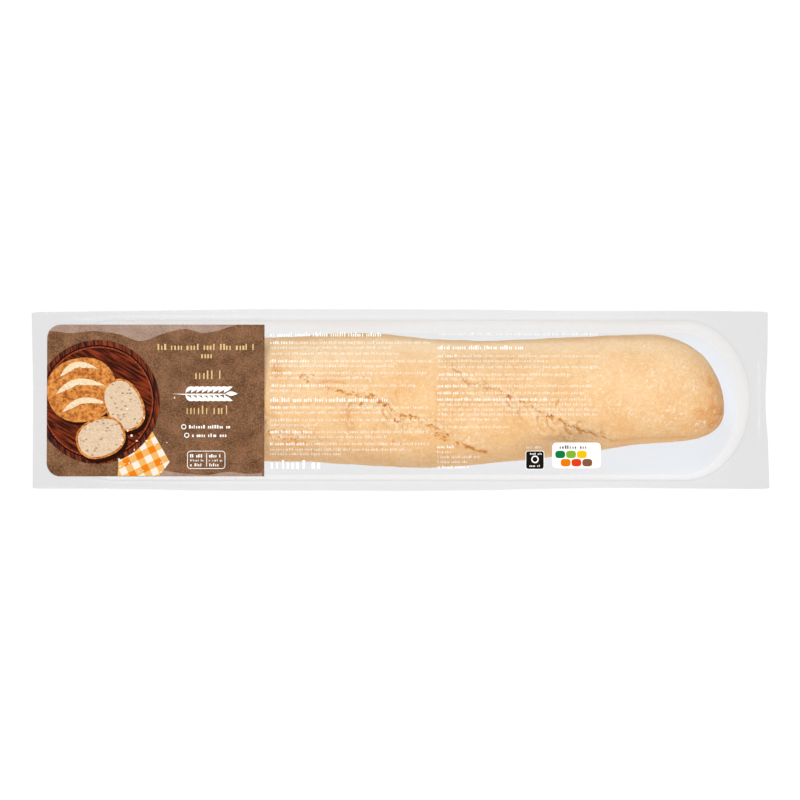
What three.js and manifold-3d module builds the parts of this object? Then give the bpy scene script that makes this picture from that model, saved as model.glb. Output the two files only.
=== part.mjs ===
// A part-baked baguette in its clear sealed pack, lying flat with the printed side up.
//
// Three separate pieces: a deep clear tray formed from film, with a flat sealing flange round a tub with
// round ends; the baguette that lies on the tray's floor, with three slanted cuts across its crust; and
// the clear top film, welded to the flange and lifted a little over the loaf.
//
// Millimetres, +Z up. The origin is the middle of the tray's underside. +X runs along the pack, away from
// the printed panel, and +Y is the far long side when the print is read.

import * as THREE from "three";
import { mergeVertices } from "three/addons/utils/BufferGeometryUtils.js";
import Module from "manifold-3d";

const vec2 = (x, y) => new THREE.Vector2(x, y);

// Driving dimensions of the pack
const PACK_LENGTH = 430;
const PACK_WIDTH = 105.6;
const FLANGE_TOP = 46; // height of the sealing face over the table
const WALL = 0.6; // formed film of the tray, flange included
const TUB_LENGTH = 409; // the tub's opening in the flange
const TUB_WIDTH = 93.6;
const TUB_END = 38; // length of each rounded end of the opening
const DRAFT = 4; // the tub's wall leans in by this much on its way down
const TUB_FOOT_RADIUS = 7; // between wall and floor
const TUB_LIP_RADIUS = 1.6; // between wall and flange
const FILM = 0.3; // top film
const FILM_RISE = 1.9; // how far the film stands up over the loaf
const GAP = 0.3; // between pieces that rest on each other

// Driving dimensions of the loaf
const LOAF_START = -193; // its end under the printed panel
const LOAF_END = 191.3;
const LOAF_HEIGHT = 44.8;
const BELLY = 0.39; // share of the height at which the loaf is widest
const DOME_POWER = 2.15; // superellipse power of the section above the belly
const SOLE_POWER = 3.4; // and below it, where the loaf lies flat
const SWELL = 0.012; // share by which the top rises and falls along the loaf
const SWELL_REACH = 21; // length over which that swelling turns by one radian
const TAPER = 0.03; // share of the height that the loaf loses towards its ends
const CUT_DEPTH = 3.2;
const CUT_HALF_WIDTH = 4.2;
const CUT_LIP = 1.3; // crust that the cut has pushed up along its far side
const CUT_LIP_OFFSET = 9.5;
const CUT_LIP_HALF_WIDTH = 5;

// The three slanted cuts, each from its far end to its near end, seen from above
const CUTS = [
  { from: vec2(-148, 15), to: vec2(-38, -30) },
  { from: vec2(-58, 15), to: vec2(52, -30) },
  { from: vec2(31, 20), to: vec2(124, -24) },
];

// How finely the round shapes are stepped
const LOAF_STEPS = 104;
const LOAF_SIDES = 34;
const SOLE_SHARE = 0.24; // share of the sides that go to the loaf's underside
const SIDE_STEPS = 14; // along each straight side of the tub
const CORNER_STEPS = 7; // each quarter of the tub's ends, and each short side of the flange
const FOOT_STEPS = 3;
const LIP_STEPS = 2;
const FILM_STEPS = 44;
const FILM_STRIPS = 12;

const wasm = await Module();
wasm.setup();

// A geometry whose shared corners are merged, as a solid for joining and cutting.
function solidOf(geometry) {
  const bare = geometry.clone();
  bare.deleteAttribute("normal");
  bare.deleteAttribute("uv");
  const merged = mergeVertices(bare, 1e-4);
  return new wasm.Manifold(
    new wasm.Mesh({
      numProp: 3,
      vertProperties: merged.attributes.position.array,
      triVerts: new Uint32Array(merged.index.array),
    }),
  );
}

function geometryOf(solid) {
  const mesh = solid.getMesh();
  const geometry = new THREE.BufferGeometry();
  geometry.setAttribute("position", new THREE.BufferAttribute(mesh.vertProperties, 3));
  geometry.setIndex(new THREE.BufferAttribute(mesh.triVerts, 1));
  geometry.computeVertexNormals();
  return geometry;
}

// A smooth curve through [x, y] points in order of x, read at x: cubic between points, with each slope
// taken from the two neighbours.
function through(points, x) {
  const last = points.length - 1;
  let i = 0;
  while (i < last - 1 && x > points[i + 1][0]) i += 1;
  const slope = (k) => {
    const a = points[Math.max(k - 1, 0)];
    const b = points[Math.min(k + 1, last)];
    return (b[1] - a[1]) / (b[0] - a[0]);
  };
  const [x0, y0] = points[i];
  const [x1, y1] = points[i + 1];
  const span = x1 - x0;
  const t = THREE.MathUtils.clamp((x - x0) / span, 0, 1);
  const t2 = t * t;
  const t3 = t2 * t;
  const values = (2 * t3 - 3 * t2 + 1) * y0 + (3 * t2 - 2 * t3) * y1;
  const slopes = (t3 - 2 * t2 + t) * slope(i) + (t3 - t2) * slope(i + 1);
  return values + slopes * span;
}

// The quarter of a superellipse that falls from 1 at s = 0 to 0 at s = 1.
function roundOff(s, power) {
  const t = THREE.MathUtils.clamp(s, 0, 1);
  return (1 - t ** power) ** (1 / power);
}

// The flange's outline. Film shrinks as it cools, so it stays inside the cut size by these amounts: most
// at the corners of the long sides, and in the middle of the short right side.
const HALF_LENGTH = PACK_LENGTH / 2;
const HALF_WIDTH = PACK_WIDTH / 2;
const FAR_SHRINK = [[-HALF_LENGTH, 1.4], [-110, 0], [40, 0], [90, 0.9], [HALF_LENGTH, 1.1]];
const NEAR_SHRINK = [[-HALF_LENGTH, 1.3], [-120, 0.1], [20, 0], [105, 1.6], [HALF_LENGTH, 1.3]];
const LEFT_SHRINK = [[-HALF_WIDTH, 0.7], [0, 0.6], [HALF_WIDTH, 0]];
const RIGHT_SHRINK = [[-HALF_WIDTH, 0], [-20, 0.7], [8, 1.6], [HALF_WIDTH, 0.5]];

const farSide = (x) => HALF_WIDTH - Math.max(0, through(FAR_SHRINK, x));
const nearSide = (x) => -HALF_WIDTH + Math.max(0, through(NEAR_SHRINK, x));
const leftSide = (y) => -HALF_LENGTH + Math.max(0, through(LEFT_SHRINK, y));
const rightSide = (y) => HALF_LENGTH - Math.max(0, through(RIGHT_SHRINK, y));

// A point of the flange's sheet for u and v from 0 to 1, left to right and near to far.
function flangeSheet(u, v) {
  const y = THREE.MathUtils.lerp(-HALF_WIDTH, HALF_WIDTH, v);
  const x = THREE.MathUtils.lerp(leftSide(y), rightSide(y), u);
  return vec2(x, THREE.MathUtils.lerp(nearSide(x), farSide(x), v));
}

// The sheet's edge, once round from its near left corner.
function flangeOutline() {
  const steps = SIDE_STEPS + 2 * CORNER_STEPS;
  const side = (count, point) => Array.from({ length: count }, (_, i) => point(i / count));
  return [
    ...side(steps, (t) => flangeSheet(t, 0)),
    ...side(CORNER_STEPS, (t) => flangeSheet(1, t)),
    ...side(steps, (t) => flangeSheet(1 - t, 1)),
    ...side(CORNER_STEPS, (t) => flangeSheet(0, 1 - t)),
  ];
}

// The tub's outline, drawn in by inset all round: two straight sides and two half-elliptical ends.
function tubOutline(inset) {
  const straight = TUB_LENGTH / 2 - TUB_END;
  const across = TUB_WIDTH / 2 - inset;
  const along = TUB_END - inset;
  const endSteps = 4 * CORNER_STEPS;
  const points = [];
  for (const side of [1, -1]) {
    for (let i = 0; i < SIDE_STEPS; i += 1) {
      points.push(vec2(side * straight * ((2 * i) / SIDE_STEPS - 1), -side * across));
    }
    for (let i = 0; i < endSteps; i += 1) {
      const angle = (i / endSteps - 0.5) * Math.PI;
      points.push(vec2(side * (straight + along * Math.cos(angle)), side * across * Math.sin(angle)));
    }
  }
  return points;
}

// A closed solid through outlines of equal length, stacked from the lowest to the highest.
function stack(levels) {
  const count = levels[0].outline.length;
  const positions = levels.flatMap(({ outline, z }) => outline.flatMap((p) => [p.x, p.y, z]));
  const index = [];
  for (let level = 0; level < levels.length - 1; level += 1) {
    for (let i = 0; i < count; i += 1) {
      const a = level * count + i;
      const b = level * count + ((i + 1) % count);
      index.push(a, b, b + count, a, b + count, a + count);
    }
  }
  const top = (levels.length - 1) * count;
  for (const [a, b, c] of THREE.ShapeUtils.triangulateShape(levels[0].outline, [])) {
    index.push(c, b, a);
  }
  for (const [a, b, c] of THREE.ShapeUtils.triangulateShape(levels.at(-1).outline, [])) {
    index.push(top + a, top + b, top + c);
  }
  const geometry = new THREE.BufferGeometry();
  geometry.setAttribute("position", new THREE.Float32BufferAttribute(positions, 3));
  geometry.setIndex(index);
  return geometry;
}

const quarterTurn = (steps) => Array.from({ length: steps + 1 }, (_, i) => (i / steps) * (Math.PI / 2));

// The tub as a solid block, for its outer face with skin 0 and for its hollow with skin WALL. Its side
// goes up from the rounded foot with the wall's draft, then round the lip into the flange.
function tubBlock(skin, top) {
  const foot = TUB_FOOT_RADIUS - skin;
  const lip = TUB_LIP_RADIUS + skin;
  const rim = FLANGE_TOP - WALL + skin;
  const levels = [];
  for (const angle of quarterTurn(FOOT_STEPS)) {
    const inset = DRAFT + skin + foot * (1 - Math.sin(angle));
    levels.push({ outline: tubOutline(inset), z: skin + foot * (1 - Math.cos(angle)) });
  }
  for (const angle of quarterTurn(LIP_STEPS)) {
    const inset = skin + TUB_LIP_RADIUS - lip * (1 - Math.cos(angle));
    levels.push({ outline: tubOutline(inset), z: rim - lip * (1 - Math.sin(angle)) });
  }
  levels.push({ outline: levels.at(-1).outline, z: top });
  return stack(levels);
}

function makeTray() {
  const flange = solidOf(
    stack([
      { outline: flangeOutline(), z: FLANGE_TOP - WALL },
      { outline: flangeOutline(), z: FLANGE_TOP },
    ]),
  );
  const outside = solidOf(tubBlock(0, FLANGE_TOP - WALL / 2));
  const hollow = solidOf(tubBlock(WALL, FLANGE_TOP + WALL));
  return geometryOf(flange.add(outside).subtract(hollow));
}

// The top film: a thin sheet that lies on the flange and arches over the tub.
function filmRise(x, y) {
  const along = Math.max(0, 1 - (Math.abs(x) / (TUB_LENGTH / 2)) ** 4);
  const across = Math.max(0, 1 - (y / (TUB_WIDTH / 2)) ** 2);
  return FILM_RISE * along * across;
}

function makeTopFilm() {
  const sheet = new THREE.BoxGeometry(1, 1, 1, FILM_STEPS, FILM_STRIPS, 1);
  const position = sheet.attributes.position;
  for (let i = 0; i < position.count; i += 1) {
    const flat = flangeSheet(position.getX(i) + 0.5, position.getY(i) + 0.5);
    const face = FLANGE_TOP + GAP + FILM * (position.getZ(i) + 0.5);
    position.setXYZ(i, flat.x, flat.y, face + filmRise(flat.x, flat.y));
  }
  return geometryOf(solidOf(sheet));
}

// The loaf seen from above: its far and near edges, and how each end is rounded off towards its tip.
const LOAF_FAR_EDGE = [
  [LOAF_START, 36.5], [-150, 39], [-80, 38.3], [-20, 41],
  [26, 37], [72, 37.3], [138, 40], [LOAF_END, 40.3],
];
const LOAF_NEAR_EDGE = [
  [LOAF_START, -32], [-150, -36], [-60, -34.7], [10, -38.4],
  [54, -35.7], [105, -30.1], [145, -24.1], [LOAF_END, -22.8],
];
const LOAF_ENDS = [
  { tip: LOAF_START, tipY: 4.4, turn: 1, far: { length: 40, power: 2.3 }, near: { length: 44, power: 2.1 } },
  { tip: LOAF_END, tipY: -3.2, turn: -1, far: { length: 43.5, power: 2 }, near: { length: 36, power: 2.6 } },
];
const TOP_ROUNDING = { length: 62, power: 2.3 };
const SOLE_ROUNDING = { length: 30, power: 2.2 };

// How much of its full size an edge has at x, from 1 along the loaf to 0 at a tip.
function endShare(end, x, rounding) {
  return roundOff(1 - (end.turn * (x - end.tip)) / rounding.length, rounding.power);
}

// The loaf's section at x: its middle and half width across, its top and its underside.
function loafSection(x) {
  const end = x < 0 ? LOAF_ENDS[0] : LOAF_ENDS[1];
  const far = end.tipY + (through(LOAF_FAR_EDGE, x) - end.tipY) * endShare(end, x, end.far);
  const near = end.tipY + (through(LOAF_NEAR_EDGE, x) - end.tipY) * endShare(end, x, end.near);
  const belly = BELLY * LOAF_HEIGHT;
  const swelling = 1 + SWELL * Math.sin(x / SWELL_REACH) - TAPER * (x / LOAF_END) ** 2;
  return {
    middle: (far + near) / 2,
    half: (far - near) / 2,
    belly,
    rise: (LOAF_HEIGHT - belly) * swelling * endShare(end, x, TOP_ROUNDING),
    drop: belly * endShare(end, x, SOLE_ROUNDING),
  };
}

// A smooth bump of height 1 round zero.
const bump = (distance, halfWidth) => Math.exp(-((distance / halfWidth) ** 2));

// How far the crust is moved up at a point seen from above: down into each cut, and up along its lip.
function cutRelief(x, y) {
  let moved = 0;
  for (const { from, to } of CUTS) {
    const run = to.clone().sub(from);
    const length = run.length();
    run.divideScalar(length);
    const along = ((x - from.x) * run.x + (y - from.y) * run.y) / length;
    const across = (y - from.y) * run.x - (x - from.x) * run.y;
    if (along <= 0 || along >= 1) continue;
    const open = Math.sqrt(Math.sin(Math.PI * along));
    moved -= CUT_DEPTH * open * bump(across, CUT_HALF_WIDTH);
    moved += CUT_LIP * open * bump(across - CUT_LIP_OFFSET, CUT_LIP_HALF_WIDTH);
  }
  return moved;
}

// A point of the loaf's skin: x along it, and turn once round its section from 0 to 1, starting and
// ending in the middle of the underside.
function loafSkin(x, turn) {
  const section = loafSection(x);
  const side = turn < 0.5 ? 1 : -1;
  const half = Math.min(turn, 1 - turn);
  const sole = SOLE_SHARE / 2;
  const under = half < sole;
  const quarter = under ? half / sole - 1 : (half - sole) / (0.5 - sole);
  const angle = (quarter * Math.PI) / 2;
  const power = under ? SOLE_POWER : DOME_POWER;
  const reach = Math.abs(Math.cos(angle)) ** (2 / power);
  const height = Math.abs(Math.sin(angle)) ** (2 / power);
  const y = section.middle + side * section.half * reach;
  if (under) return new THREE.Vector3(x, y, section.belly - section.drop * height);
  return new THREE.Vector3(x, y, section.belly + (section.rise + cutRelief(x, y)) * height);
}

// The loaf starts as a unit sphere with its poles along Y: each ring becomes a section of the loaf.
function makeLoaf() {
  const ball = new THREE.SphereGeometry(1, LOAF_SIDES, LOAF_STEPS);
  const position = ball.attributes.position;
  const uv = ball.attributes.uv;
  const base = WALL + GAP;
  for (let i = 0; i < position.count; i += 1) {
    const x = THREE.MathUtils.mapLinear(position.getY(i), 1, -1, LOAF_START, LOAF_END);
    const skin = loafSkin(x, 1 - uv.getX(i));
    position.setXYZ(i, skin.x, skin.y, base + skin.z);
  }
  return geometryOf(solidOf(ball));
}

const clearTray = new THREE.MeshStandardMaterial({
  color: 0xe8ebee,
  roughness: 0.15,
  metalness: 0,
  transparent: true,
  opacity: 0.3,
});
const clearFilm = new THREE.MeshStandardMaterial({
  color: 0xeceef0,
  roughness: 0.12,
  metalness: 0,
  transparent: true,
  opacity: 0.25,
});
const paleCrust = new THREE.MeshStandardMaterial({ color: 0xf0ca92, roughness: 0.85, metalness: 0 });

function named(name, geometry, material) {
  const mesh = new THREE.Mesh(geometry, material);
  mesh.name = name;
  return mesh;
}

const pack = new THREE.Group();
pack.add(named("tray", makeTray(), clearTray));
pack.add(named("baguette", makeLoaf(), paleCrust));
pack.add(named("top_film", makeTopFilm(), clearFilm));

export default pack;
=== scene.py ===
"""A part-baked baguette sealed in its clear pack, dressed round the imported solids.

Shapes are worked out in millimetres as arrays of points on grids, from the same named sizes as the
solids, and written to meshes in metres. The photograph looks almost straight down on the sealing plane,
so a place read in it is a pixel that at_px() turns into millimetres on that plane.
"""

import math

import bpy
import numpy as np
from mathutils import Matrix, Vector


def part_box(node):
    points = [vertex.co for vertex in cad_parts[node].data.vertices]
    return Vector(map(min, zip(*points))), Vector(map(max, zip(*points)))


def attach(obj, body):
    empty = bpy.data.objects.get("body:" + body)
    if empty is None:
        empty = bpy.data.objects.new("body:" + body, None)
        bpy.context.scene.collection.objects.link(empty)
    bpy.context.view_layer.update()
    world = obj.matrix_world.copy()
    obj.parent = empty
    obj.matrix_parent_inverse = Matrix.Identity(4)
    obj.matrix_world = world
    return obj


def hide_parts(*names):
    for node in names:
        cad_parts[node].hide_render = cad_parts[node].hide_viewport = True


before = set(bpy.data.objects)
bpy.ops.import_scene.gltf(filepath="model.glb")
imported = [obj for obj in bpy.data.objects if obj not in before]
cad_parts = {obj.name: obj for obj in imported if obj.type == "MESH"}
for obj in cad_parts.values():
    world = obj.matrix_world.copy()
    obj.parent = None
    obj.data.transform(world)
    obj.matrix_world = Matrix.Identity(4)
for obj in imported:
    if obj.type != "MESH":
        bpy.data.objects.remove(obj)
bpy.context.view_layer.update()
rng = np.random.default_rng(250)

# Sizes of the pack, in millimetres
MM = 0.001
HALF_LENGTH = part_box("tray")[1].x / MM
HALF_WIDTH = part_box("tray")[1].y / MM
FLANGE_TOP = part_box("tray")[1].z / MM
WALL = 0.6  # the solid tray's wall, which the visible film stands inside
TRAY_FILM = 0.3  # thickness of the visible films
LIDDING_FILM = 0.15
TUB_LENGTH = 409.0  # the tub's opening in the flange
TUB_WIDTH = 93.6
TUB_END = 38.0  # length of each rounded end of the opening
DRAFT = 4.0  # the tub's wall leans in by this much on its way down
TUB_FOOT_RADIUS = 7.0  # between wall and floor
TUB_LIP_RADIUS = 1.6  # between wall and flange
FILM_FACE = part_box("top_film")[0].z / MM + 0.3  # upper face of the top film where it is welded
FILM_RISE = 1.9  # how far the film stands up over the loaf
FILM_RIPPLE = 0.09
SEAL_BORDER = 5.3  # width of the band that the sealing bar leaves along the edge
SEAL_CORNER = 7.0
SEAL_SINK = 0.2  # how far that band is pressed down
SEAL_BEAD = 0.16  # height of the bead along its inner edge
INK_STEP = 0.05  # each layer of ink stands this far above the one below it, so that both show

# Sizes of the loaf
LOAF_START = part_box("baguette")[0].x / MM
LOAF_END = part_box("baguette")[1].x / MM
LOAF_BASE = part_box("baguette")[0].z / MM
LOAF_HEIGHT = 44.8
BELLY = 0.39  # share of the height at which the loaf is widest
DOME_POWER = 2.15  # superellipse power of the section above the belly
SOLE_POWER = 3.4  # and below it, where the loaf lies flat
SWELL = 0.012  # share by which the top rises and falls along the loaf
SWELL_REACH = 21.0  # length over which that swelling turns by one radian
TAPER = 0.03  # share of the height that the loaf loses towards its ends
SOLE_SHARE = 0.24  # share of the turn round a section that goes to the underside
GIRTH = 210.0  # once round the loaf

# The photograph
PHOTO_PX = 800
PACK_PX = 736  # the pack's length in it
PX = 2 * HALF_LENGTH / PACK_PX  # millimetres for one pixel on the sealing plane
CAMERA_DISTANCE = 2.5
CAMERA_TILT = math.radians(3.2)  # from straight down, towards the near side


def at_px(x, y):
    """Millimetres on the sealing plane for a pixel of the photograph."""
    return (x - PHOTO_PX / 2) * PX, (PHOTO_PX / 2 - y) * PX


def px_path(*points):
    """Places in millimetres for several pixels of the photograph, one to a row."""
    return np.array([at_px(x, y) for x, y in points])


# Arithmetic on arrays


def bump(distance, half_width):
    """A smooth bump of height 1 round zero."""
    return np.exp(-((distance / half_width) ** 2))


def step(x, low, high):
    """Rises smoothly from 0 at low to 1 at high."""
    t = np.clip((x - low) / (high - low), 0, 1)
    return t * t * (3 - 2 * t)


def window(x, low, high, soft_low, soft_high):
    """Is 1 between low and high, and falls off smoothly over the soft lengths outside them."""
    return step(x, low - soft_low, low) * (1 - step(x, high, high + soft_high))


def round_off(s, power):
    """The quarter of a superellipse that falls from 1 at s = 0 to 0 at s = 1."""
    return (1 - np.clip(s, 0, 1) ** power) ** (1 / power)


def through(points, x):
    """A smooth curve through points in order of x, read at x: cubic, with each slope from its neighbours."""
    px, py = np.array(points, float).T
    slope = np.gradient(py)
    slope[1:-1] = (py[2:] - py[:-2]) / (px[2:] - px[:-2])
    slope[0] = (py[1] - py[0]) / (px[1] - px[0])
    slope[-1] = (py[-1] - py[-2]) / (px[-1] - px[-2])
    i = np.clip(np.searchsorted(px, x) - 1, 0, len(px) - 2)
    span = px[i + 1] - px[i]
    t = np.clip((x - px[i]) / span, 0, 1)
    values = (2 * t**3 - 3 * t**2 + 1) * py[i] + (3 * t**2 - 2 * t**3) * py[i + 1]
    slopes = (t**3 - 2 * t**2 + t) * slope[i] + (t**3 - t**2) * slope[i + 1]
    return values + slopes * span


def scatter(cells, seed):
    """A number from -1 to 1 for each whole-numbered cell, the same on every run."""
    a, b, c = (cells[..., k].astype(np.uint64) for k in range(3))
    mixed = a * np.uint64(73856093) ^ b * np.uint64(19349663) ^ c * np.uint64(83492791)
    mixed = (mixed + np.uint64(seed * 7919)) * np.uint64(0x9E3779B97F4A7C15)
    mixed ^= mixed >> np.uint64(29)
    mixed *= np.uint64(0xBF58476D1CE4E5B9)
    return (mixed >> np.uint64(40)).astype(float) / 2**23 - 1


def grain(points, size, seed):
    """Smooth noise from -1 to 1: a random value at each corner of a lattice of that size, blended between."""
    scaled = points / size
    cell = np.floor(scaled).astype(np.int64)
    part = scaled - cell
    blend = part * part * (3 - 2 * part)
    total = 0
    for corner in np.ndindex(2, 2, 2):
        weight = np.prod(np.where(corner, blend, 1 - blend), axis=-1)
        total = total + weight * scatter(cell + np.array(corner), seed)
    return total


def rough(points, size, seed, layers=3):
    """Noise with finer and finer layers, each half the size and half the strength of the one before."""
    total = 0
    for layer in range(layers):
        total = total + grain(points, size / 2**layer, seed + layer) / 2**layer
    return total


def bent_line(start, middle, end, count):
    """Places at even steps along the parabola through three places, and the run of the line at each."""
    t = np.linspace(0, 1, count)[:, None]
    start, middle, end = (np.array(place, float) for place in (start, middle, end))
    bend = 2 * middle - (start + end) / 2
    line = (1 - t) ** 2 * start + 2 * t * (1 - t) * bend + t**2 * end
    return line, np.gradient(line, axis=0)


# Meshes from arrays


def in_scene(name, data):
    """A new object for some data, linked to the scene."""
    thing = bpy.data.objects.new(name, data)
    bpy.context.scene.collection.objects.link(thing)
    return thing


def mesh_piece(name, points, faces, material, smooth=True):
    """A mesh object from points in millimetres and a list of face arrays, each of quads or triangles."""
    mesh = bpy.data.meshes.new(name)
    corners = np.concatenate([f.ravel() for f in faces]).astype(np.int32)
    sizes = np.concatenate([np.full(len(f), f.shape[1]) for f in faces])
    mesh.vertices.add(len(points))
    mesh.vertices.foreach_set("co", (points * MM).astype(np.float32).ravel())
    mesh.loops.add(len(corners))
    mesh.loops.foreach_set("vertex_index", corners)
    mesh.polygons.add(len(sizes))
    mesh.polygons.foreach_set("loop_start", (np.cumsum(sizes) - sizes).astype(np.int32))
    mesh.update(calc_edges=True)
    mesh.validate()
    mesh.polygons.foreach_set("use_smooth", np.full(len(mesh.polygons), smooth))
    mesh.materials.append(material)
    piece = in_scene(name, mesh)
    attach(piece, "root")
    return piece


def grid_faces(rows, columns, wrap=False):
    """Quads of a grid of rows by columns points, with the last column joined to the first if it wraps.
    They face the way of the cross product of a step to the next row and a step to the next column."""
    across = columns if wrap else columns - 1
    i, j = np.meshgrid(np.arange(rows - 1), np.arange(across), indexing="ij")
    k = (j + 1) % columns
    quads = np.stack([i * columns + j, (i + 1) * columns + j, (i + 1) * columns + k, i * columns + k], -1)
    return quads.reshape(-1, 4)


def add_values(piece, **values):
    """Named numbers at the mesh's points, which its material reads."""
    for name, numbers in values.items():
        attribute = piece.data.attributes.new(name, "FLOAT", "POINT")
        attribute.data.foreach_set("value", numbers.astype(np.float32).ravel())


# Materials


def linear(hex_colour):
    """An sRGB colour such as "E3C08A" as linear red, green, blue and alpha."""
    parts = [int(hex_colour[i : i + 2], 16) / 255 for i in (0, 2, 4)]
    return [c / 12.92 if c <= 0.04045 else ((c + 0.055) / 1.055) ** 2.4 for c in parts] + [1.0]


def add(tree, kind, inputs=None, **settings):
    """Adds a node with its own settings. inputs fill its sockets in use, by name or number, each with a
    value, a hex colour, another node's output, or another node, whose first output in use is linked."""
    node = tree.nodes.new("ShaderNode" + kind)
    for name, value in settings.items():
        setattr(node, name, value)
    for name, value in (inputs or {}).items():
        in_use = [s for s in node.inputs if s.enabled]
        socket = in_use[name] if isinstance(name, int) else next(s for s in in_use if s.name == name)
        if isinstance(value, bpy.types.Node):
            value = next(s for s in value.outputs if s.enabled)
        if isinstance(value, bpy.types.NodeSocket):
            tree.links.new(value, socket)
        else:
            socket.default_value = linear(value) if isinstance(value, str) else value
    return node


def new_material(name, **shader):
    """A material with its Principled shader's sockets set, its node tree, and Object coordinates."""
    material = bpy.data.materials.new(name)
    material.use_nodes = True
    tree = material.node_tree
    for socket, value in shader.items():
        value = linear(value) if isinstance(value, str) else value
        tree.nodes["Principled BSDF"].inputs[socket.replace("_", " ")].default_value = value
    return material, tree, add(tree, "TexCoord").outputs["Object"]


def noise(tree, place, size, detail, roughness=0.5):
    """A noise node whose largest features are about size millimetres across."""
    inputs = {"Vector": place, "Scale": 1000 / size, "Detail": detail, "Roughness": roughness}
    return add(tree, "TexNoise", inputs)


def ranged(tree, value, none_at, most_at, most=1.0):
    """A node that gives 0 where the value is none_at, and the most where it is most_at."""
    return add(tree, "MapRange", {"Value": value, "From Min": none_at, "From Max": most_at, "To Max": most})


def times(tree, a, b):
    """A node that multiplies two values."""
    return add(tree, "Math", {0: a, 1: b}, operation="MULTIPLY")


def mixed(tree, amount, under, over):
    """A node that lays one colour over another by an amount from 0 to 1."""
    return add(tree, "Mix", {"Factor": amount, "A": under, "B": over}, data_type="RGBA")


def layered(tree, place, colour, layers):
    """Lays colours over a colour, each as far as its own noise reaches. A layer is the noise's size in
    millimetres, its detail and roughness, the noise that leaves the layer out and the noise that brings
    it in most, how much that most is, and the layer's colour."""
    for size, detail, roughness, none_at, most_at, most, over in layers:
        amount = ranged(tree, noise(tree, place, size, detail, roughness), none_at, most_at, most)
        colour = mixed(tree, amount, colour, over)
    return colour


def coloured(material, colour):
    """The material, once the node that gives its colour is linked to its shader."""
    tree = material.node_tree
    tree.links.new(colour.outputs[2], tree.nodes["Principled BSDF"].inputs["Base Color"])
    return material


def part_baked_crust():
    """White bread baked until the crust sets but hardly browns, then dusted with flour: matt, pale gold,
    a little uneven, with toasted brown where the dough tore thin and paler crumb in the tears."""
    material, tree, place = new_material("part_baked_crust", Roughness=0.86, IOR=1.45)
    torn, browned_and_shade, toasted, sole, flour_and_light = (
        add(tree, "Attribute", attribute_name=name).outputs["Fac"]
        for name in ("torn", "browned_and_shade", "toasted", "sole", "flour_and_light")
    )
    # Paler clouds, darker mottling, and flour. Flour is ground to about 0.1 mm, too fine to show, so its
    # dust and the specks in it are drawn 1 to 2 mm across.
    colour = layered(tree, place, "E6B97D", [
        (24, 2.0, 0.5, 0.36, 0.64, 1.0, "ECC692"),
        (6, 4.0, 0.6, 0.45, 0.75, 0.5, "DBA05A"),
        (2.2, 4.0, 0.7, 0.5, 0.7, 0.55, "EEDCBE"),
    ])
    crumb = layered(tree, place, "DDB47B", [(2.4, 3.0, 0.6, 0.36, 0.6, 1.0, "F4DFB8")])
    colour = mixed(tree, times(tree, torn, 0.7), colour, crumb)
    specks = (1.0, 2.0, 0.7, 0.42, 0.62)
    colour = layered(tree, place, colour, [(*specks, 0.2, "C98E48")])
    # The tan is the crust's browning and, low on the sides and in one patch, also a painted warm shade
    tan = layered(tree, place, "E3A656", [(*specks, 1.0, "CA782A")])
    edge = ranged(tree, toasted, 0.05, 0.42)
    toast = mixed(tree, toasted, "DFA240", "A45600")
    # Round marks 5 mm apart under the loaf, from the holes of a baking sheet
    holes = {"Vector": place, "Scale": 1000 / 5, "Randomness": 0.0}
    holes = add(tree, "TexVoronoi", holes, voronoi_dimensions="2D")
    holes = times(tree, ranged(tree, holes, 0.42, 0.3), sole)
    # Flour and the painted light on the top share one pale colour
    for amount, over in ((browned_and_shade, tan), (edge, toast), (holes, "EBCB96"), (flour_and_light, "F8E6C6")):
        colour = mixed(tree, amount, colour, over)
    fine = noise(tree, place, 1.4, 4.0, 0.65)
    coarse = noise(tree, place, 5, 2.0)
    relief = add(tree, "Math", {0: coarse, 1: 1.6, 2: fine}, operation="MULTIPLY_ADD")
    bump_node = add(tree, "Bump", {"Height": relief, "Distance": 0.6 * MM, "Strength": 0.9})
    tree.links.new(bump_node.outputs["Normal"], tree.nodes["Principled BSDF"].inputs["Normal"])
    return coloured(material, colour)


def bench_flour():
    """Wheat flour that stuck to the crust in flakes: matt and off-white, a little warmer where it is thin."""
    material, tree, place = new_material("bench_flour", Roughness=0.95)
    return coloured(material, layered(tree, place, "E9D3AE", [(0.8, 2.0, 0.5, 0.0, 1.0, 1.0, "F6EBD8")]))


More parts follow.
